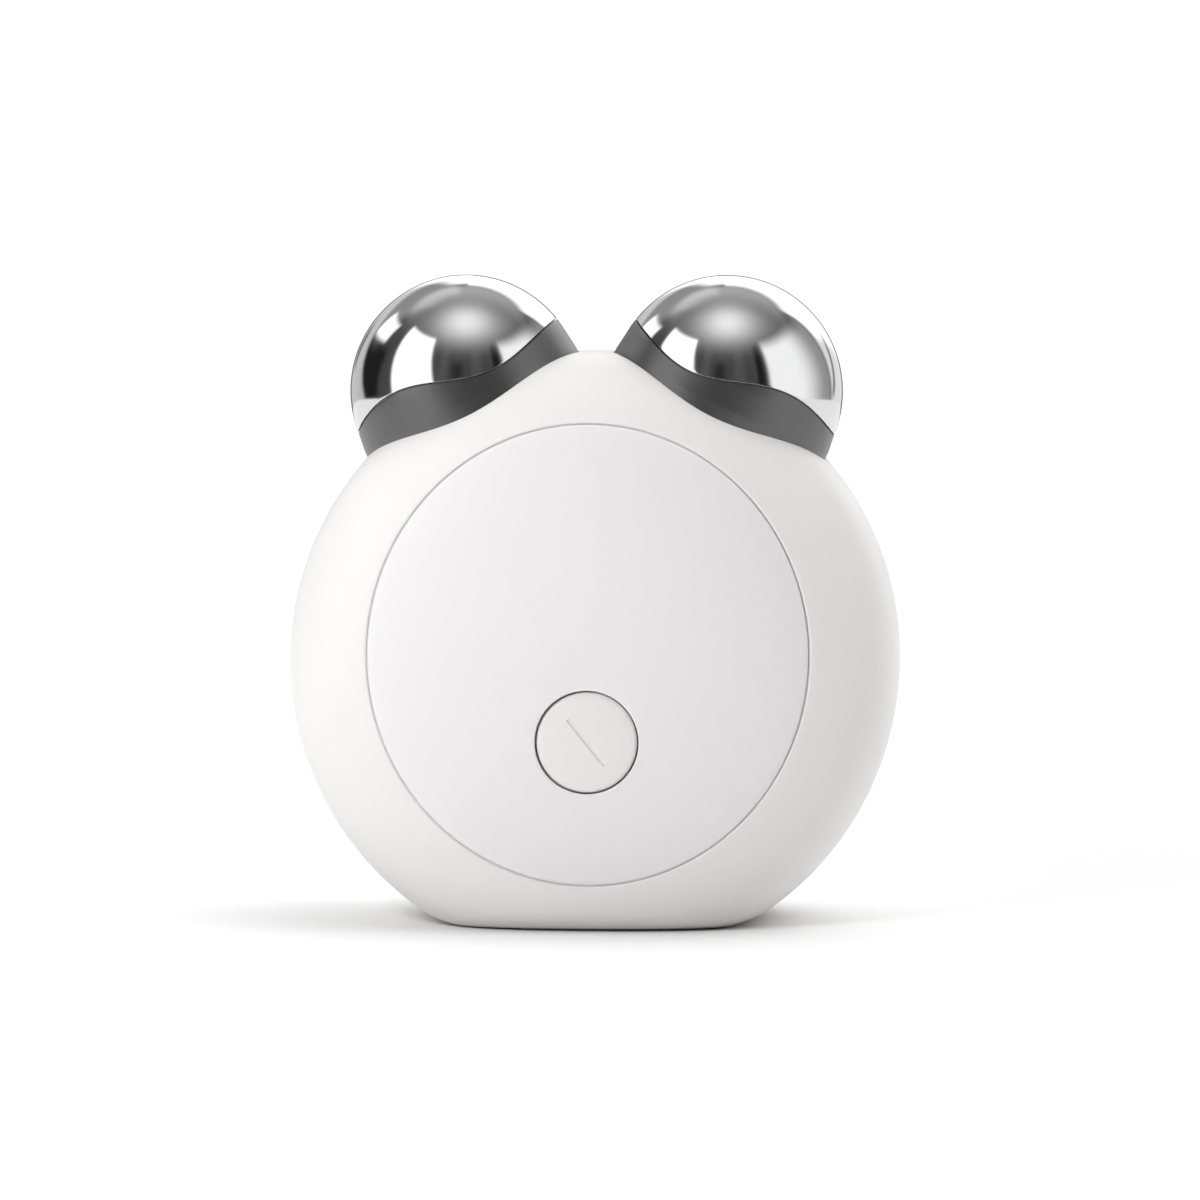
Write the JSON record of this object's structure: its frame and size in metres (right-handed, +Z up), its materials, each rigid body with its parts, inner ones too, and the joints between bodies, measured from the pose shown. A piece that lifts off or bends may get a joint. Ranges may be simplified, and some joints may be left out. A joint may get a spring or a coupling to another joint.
{
  "type": "facial toning device",
  "caption": "Round white palm-sized housing on a flat base, with a flush oval front panel, a press button and two polished electrode domes in dark wave-edged collars.",
  "frame": {"origin": "middle of the base's lowest plane, under the centre of the whole object", "axes": "+X to the right seen from the front, +Y from the front face to the back, +Z up"},
  "size_m": [0.075, 0.041, 0.0795],
  "materials": {
    "shell": "satin white moulded shell",
    "panel": "satin white panel",
    "button": "satin white button",
    "dome": "mirror polished plating",
    "collar": "satin graphite",
    "seal": "soft dark rubber",
    "jack_seal": "soft white rubber",
    "tape": "white foam tape",
    "switch": "black",
    "screw": "plain",
    "contact": "plated",
    "frame": "filled nylon",
    "board": "green board",
    "chip": "black",
    "transformer": "wound core",
    "socket": "ivory",
    "cell": "foil pouch",
    "foam": "foam pad",
    "motor": "drawn can",
    "weight": "dense alloy",
    "jack": "black",
    "red_lead": "insulated wire",
    "blue_lead": "insulated wire"
  },
  "bodies": {
    "housing": {"front_shell": "shell", "rear_shell": "shell", "seam_seal": "seal", "front_panel": "panel", "panel_tape": "tape", "switch_body": "switch", "right_dome": "dome", "left_dome": "dome", "right_collar": "collar", "left_collar": "collar", "right_collar_seal": "seal", "left_collar_seal": "seal", "dome_screws": "screw", "ring_terminals": "contact", "head_frame": "frame", "main_board": "board", "board_screws": "screw", "control_chip": "chip", "charging_chip": "chip", "output_transformer": "transformer", "battery_socket": "socket", "battery": "cell", "battery_pad": "foam", "motor_can": "motor", "motor_boot": "seal", "charging_jack": "jack", "jack_pins": "contact", "jack_seal": "jack_seal", "right_lead": "red_lead", "left_lead": "red_lead", "motor_leads": "blue_lead", "battery_leads": "red_lead", "charging_leads": "blue_lead", "shell_screws": "screw"},
    "button": {"power_button": "button", "button_seal": "seal", "switch_plunger": "switch"},
    "rotor": {"motor_shaft": "screw", "eccentric_weight": "weight"}
  },
  "joints": [
    {"name": "button_press", "type": "slide", "parent": "housing", "child": "button", "axis": [0, 1, 0], "range_m": [0, 0.0005], "stiffness_N_per_m": 2500, "springref_m": -0.0002},
    {"name": "rotor_spin", "type": "hinge", "parent": "housing", "child": "rotor", "pos_m": [0.005, 0.0083, 0.0262], "axis": [1, 0, 0], "continuous": true}
  ]
}
